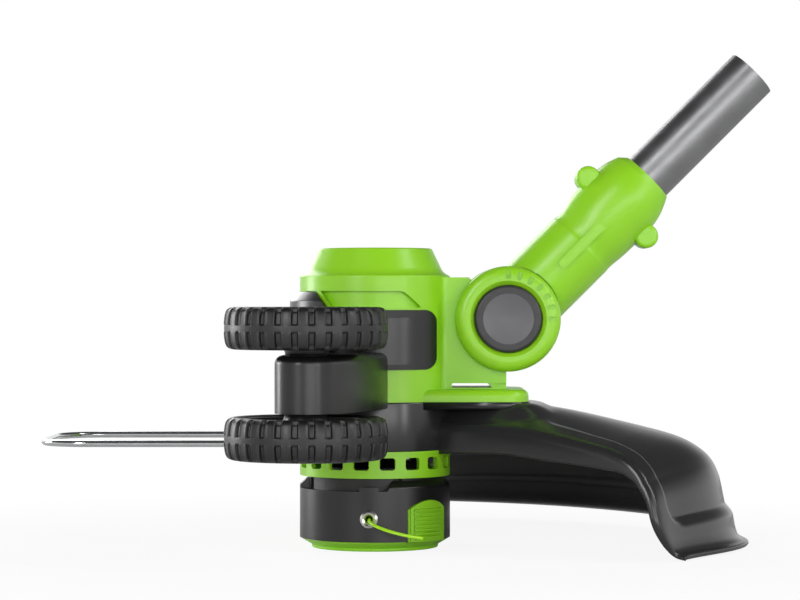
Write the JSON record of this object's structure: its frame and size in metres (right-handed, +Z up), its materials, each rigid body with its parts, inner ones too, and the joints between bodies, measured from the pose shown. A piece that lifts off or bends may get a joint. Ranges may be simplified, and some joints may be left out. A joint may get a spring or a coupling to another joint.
{
  "type": "string trimmer",
  "caption": "Cordless string trimmer head with tilting shaft sleeve, edging wheels on an arm, swing-up wire plant guard, fan-shaped line guard and a press-latch spool.",
  "frame": {"origin": "on the spool axis, at the ground under the spool cap", "axes": "+Z up along the spool axis, +X back towards the user, -X forward to the plant guard, -Y to the edging wheels"},
  "size_m": [0.3611, 0.3249, 0.2455],
  "materials": {
    "green_plastic": "satin moulded ABS",
    "black_plastic": "satin moulded nylon",
    "guard_plastic": "satin moulded polypropylene",
    "dark_plastic": "moulded glass-filled nylon",
    "button_plastic": "fine-textured moulded ABS",
    "bush_plastic": "turned acetal",
    "tyre_rubber": "moulded rubber",
    "tube_aluminium": "grey painted drawn tube",
    "wire_steel": "bright plated wire",
    "screw_steel": "zinc plated",
    "shaft_steel": "ground",
    "spring_steel": "drawn",
    "blade_steel": "stamped and ground",
    "motor_steel": "zinc plated sheet",
    "magnet": "sintered",
    "copper": "enamelled copper",
    "bronze": "sintered bronze",
    "brass_parts": "stamped",
    "eyelet_metal": "bright nickel plated",
    "line_nylon": "extruded nylon"
  },
  "bodies": {
    "head": {"housing_near": "green_plastic", "housing_far": "green_plastic", "housing_screws": "screw_steel", "vent_ring": "green_plastic", "vent_ring_screws": "screw_steel", "motor_mount": "dark_plastic", "motor_can": "motor_steel", "motor_screws": "screw_steel", "motor_magnets": "magnet", "motor_end_cap": "dark_plastic", "motor_brushes": "magnet", "motor_terminals": "brass_parts", "lower_bearing": "bronze", "upper_bearing": "bronze", "wheel_bracket": "black_plastic", "bracket_screws": "screw_steel", "wheel_axle": "shaft_steel", "axle_clips": "spring_steel", "wheel_spacers": "black_plastic", "guard": "guard_plastic", "guard_screws": "screw_steel", "line_cutter": "blade_steel", "line_cutter_screws": "screw_steel", "plant_guard_clip": "guard_plastic", "clip_screws": "screw_steel", "pivot_pin": "shaft_steel", "pivot_cap": "button_plastic", "tilt_spring": "spring_steel"},
    "spool_head": {"motor_shaft": "shaft_steel", "rotor_core": "motor_steel", "rotor_windings": "copper", "commutator": "copper", "motor_fan": "dark_plastic", "driver_disc": "dark_plastic", "driver_nut": "screw_steel", "spool_housing": "black_plastic", "line_eyelet": "eyelet_metal", "spool_cap": "green_plastic", "spool_spring": "spring_steel", "cutting_line": "line_nylon"},
    "line_reel": {"line_spool": "dark_plastic", "line_winding": "line_nylon"},
    "latch_near": {"spool_latch_near": "green_plastic"},
    "latch_far": {"spool_latch_far": "green_plastic"},
    "upper_wheel": {"wheel_tyre_upper": "tyre_rubber", "wheel_hub_upper": "black_plastic", "wheel_bush_upper": "bush_plastic"},
    "lower_wheel": {"wheel_tyre_lower": "tyre_rubber", "wheel_hub_lower": "black_plastic", "wheel_bush_lower": "bush_plastic"},
    "shaft": {"sleeve_near": "green_plastic", "sleeve_far": "green_plastic", "sleeve_screws": "screw_steel", "tube": "tube_aluminium"},
    "button": {"tilt_button": "button_plastic", "tilt_lock": "dark_plastic"},
    "plant_guard": {"plant_guard_wire": "wire_steel"}
  },
  "joints": [
    {"name": "spool_spin", "type": "hinge", "parent": "head", "child": "spool_head", "pos_m": [0, 0, 0.02], "axis": [0, 0, 1], "continuous": true},
    {"name": "line_feed", "type": "hinge", "parent": "spool_head", "child": "line_reel", "pos_m": [0, 0, 0.016], "axis": [0, 0, 1], "continuous": true},
    {"name": "latch_near_press", "type": "hinge", "parent": "spool_head", "child": "latch_near", "pos_m": [0.02567, -0.02567, 0.0062], "axis": [-0.7071, -0.7071, 0], "range_deg": [0, 4], "stiffness_Nm_per_rad": 0.35, "springref_deg": -2.86},
    {"name": "latch_far_press", "type": "hinge", "parent": "spool_head", "child": "latch_far", "pos_m": [-0.02567, 0.02567, 0.0062], "axis": [0.7071, 0.7071, 0], "range_deg": [0, 4], "stiffness_Nm_per_rad": 0.35, "springref_deg": -2.86},
    {"name": "upper_wheel_roll", "type": "hinge", "parent": "head", "child": "upper_wheel", "pos_m": [-0.031, -0.1, 0.11], "axis": [0, 0, 1], "continuous": true},
    {"name": "lower_wheel_roll", "type": "hinge", "parent": "head", "child": "lower_wheel", "pos_m": [-0.031, -0.1, 0.059], "axis": [0, 0, 1], "continuous": true},
    {"name": "shaft_tilt", "type": "hinge", "parent": "head", "child": "shaft", "pos_m": [0.0657, 0, 0.1137], "axis": [0, 1, 0], "range_deg": [-45, 45]},
    {"name": "tilt_button_press", "type": "slide", "parent": "head", "child": "button", "axis": [0, 1, 0], "range_m": [0, 0.0035], "stiffness_N_per_m": 600, "springref_m": -0.003, "deforming": ["tilt_spring"]},
    {"name": "plant_guard_swing", "type": "hinge", "parent": "head", "child": "plant_guard", "pos_m": [-0.05, 0, 0.0535], "axis": [0, 1, 0], "range_deg": [0, 90]}
  ]
}
